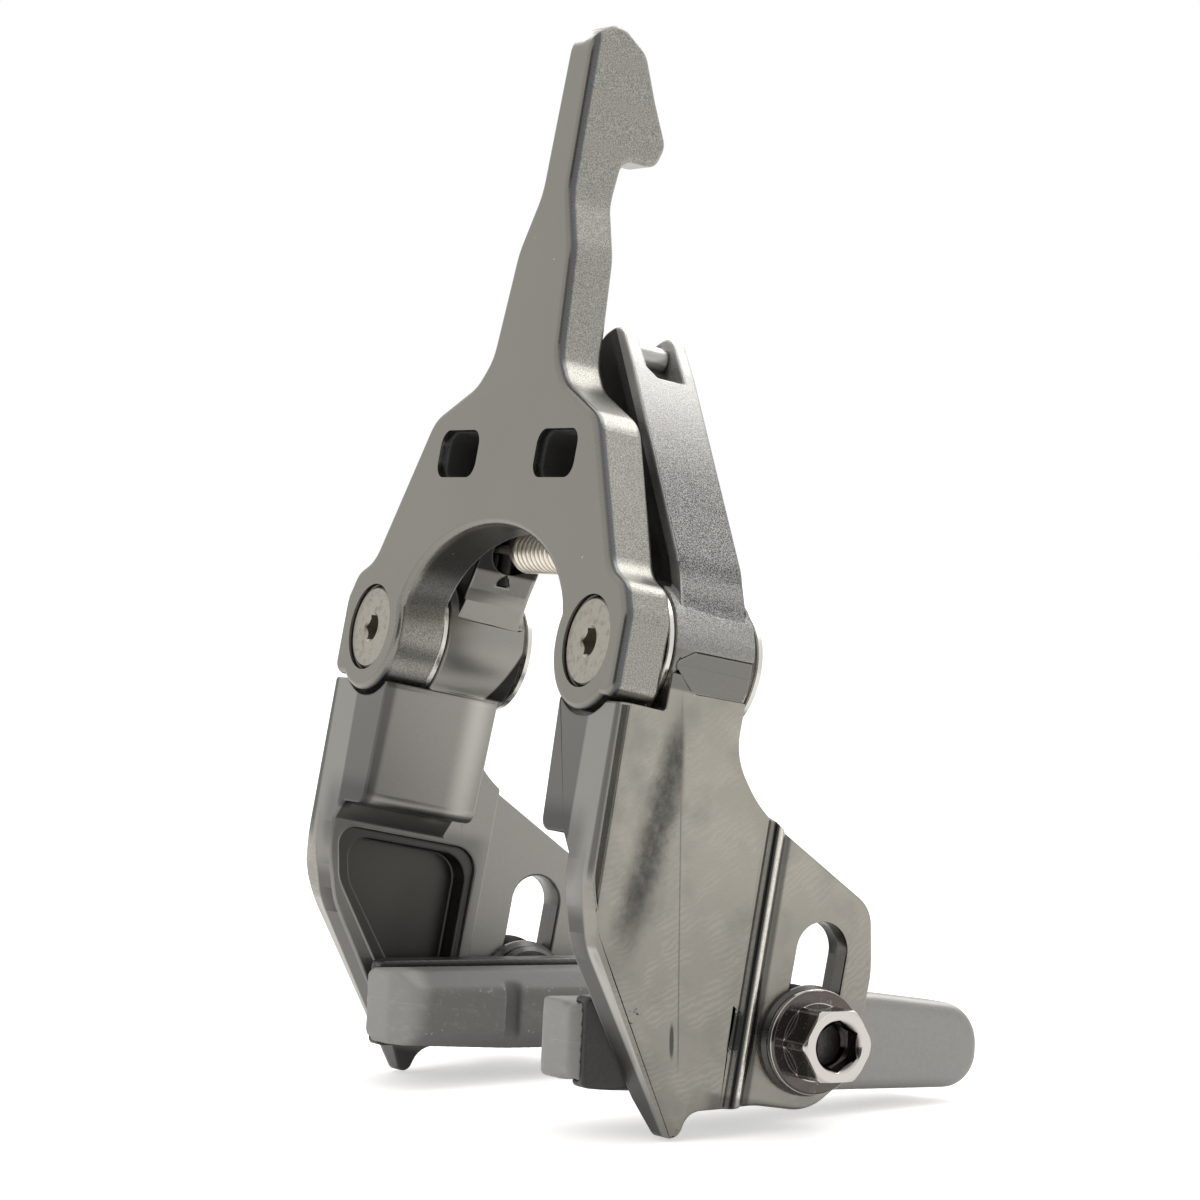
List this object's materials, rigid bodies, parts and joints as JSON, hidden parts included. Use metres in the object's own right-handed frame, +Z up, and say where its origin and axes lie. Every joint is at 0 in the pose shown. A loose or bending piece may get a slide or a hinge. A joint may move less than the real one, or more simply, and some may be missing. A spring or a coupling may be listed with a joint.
{
  "type": "direct mount brake caliper",
  "caption": "Centre-pull bicycle rim brake caliper with a hooked front plate, two sprung arms on pivot posts, wedge rollers and slotted pad carriers.",
  "frame": {"origin": "midway between the two pivot axes, on the rear mounting plane", "axes": "+X to the right seen from the front, +Y to the back toward the frame, +Z up to the hook"},
  "size_m": [0.088, 0.0604, 0.1273],
  "materials": {
    "plate_satin": "satin black anodised",
    "arm_anodised": "grit-blasted and machined, black anodised",
    "post_steel": "turned",
    "screw_steel": "warm grey coated",
    "bush_bronze": "plain bearing",
    "washer_steel": "bright",
    "pin_steel": "ground",
    "holder_satin": "satin black",
    "pad_rubber": "moulded rubber",
    "washer_dark": "dark coated",
    "nut_dark": "dark polished, faintly purple",
    "spring_nickel": "nickel plated wire"
  },
  "bodies": {
    "base": {"front_plate": "plate_satin", "return_spring": "spring_nickel", "right_pivot_post": "post_steel", "right_pivot_screw": "screw_steel", "right_thrust_washer": "washer_steel", "left_pivot_post": "post_steel", "left_pivot_screw": "screw_steel", "left_thrust_washer": "washer_steel"},
    "right_arm_body": {"right_arm": "arm_anodised", "right_pivot_bush": "bush_bronze", "right_roller_pin": "pin_steel", "right_spring_anchor": "pin_steel"},
    "right_roller_body": {"right_roller": "pin_steel"},
    "right_pad_body": {"right_pad_holder": "holder_satin", "right_brake_pad": "pad_rubber", "right_pad_set_screw": "screw_steel", "right_pad_stud": "pin_steel", "right_pad_cup_washer": "washer_dark", "right_pad_ball_washer": "washer_dark", "right_pad_outer_washer": "washer_dark", "right_pad_nut": "nut_dark"},
    "left_arm_body": {"left_arm": "arm_anodised", "left_pivot_bush": "bush_bronze", "left_roller_pin": "pin_steel", "left_spring_anchor": "pin_steel"},
    "left_roller_body": {"left_roller": "pin_steel"},
    "left_pad_body": {"left_pad_holder": "holder_satin", "left_brake_pad": "pad_rubber", "left_pad_set_screw": "screw_steel", "left_pad_stud": "pin_steel", "left_pad_cup_washer": "washer_dark", "left_pad_ball_washer": "washer_dark", "left_pad_outer_washer": "washer_dark", "left_pad_nut": "nut_dark"}
  },
  "joints": [
    {"name": "right_arm_pivot", "type": "hinge", "parent": "base", "child": "right_arm_body", "pos_m": [0.028, -0.007, 0], "axis": [0, 1, 0], "range_deg": [0, 9], "stiffness_Nm_per_rad": 0.15, "springref_deg": -45.84, "deforming": ["return_spring"]},
    {"name": "right_roller_spin", "type": "hinge", "parent": "right_arm_body", "child": "right_roller_body", "pos_m": [0.0066, -0.0066, 0.0357], "axis": [0, 1, 0], "continuous": true},
    {"name": "right_pad_height", "type": "slide", "parent": "right_arm_body", "child": "right_pad_body", "axis": [0, 0, 1], "range_m": [-0.0008, 0.0102]},
    {"name": "left_arm_pivot", "type": "hinge", "parent": "base", "child": "left_arm_body", "pos_m": [-0.028, -0.007, 0], "axis": [0, -1, 0], "range_deg": [0, 9], "stiffness_Nm_per_rad": 0.15, "springref_deg": -45.84, "deforming": ["return_spring"]},
    {"name": "left_roller_spin", "type": "hinge", "parent": "left_arm_body", "child": "left_roller_body", "pos_m": [-0.0066, -0.0066, 0.0357], "axis": [0, 1, 0], "continuous": true},
    {"name": "left_pad_height", "type": "slide", "parent": "left_arm_body", "child": "left_pad_body", "axis": [0, 0, 1], "range_m": [0, 0.011]}
  ]
}
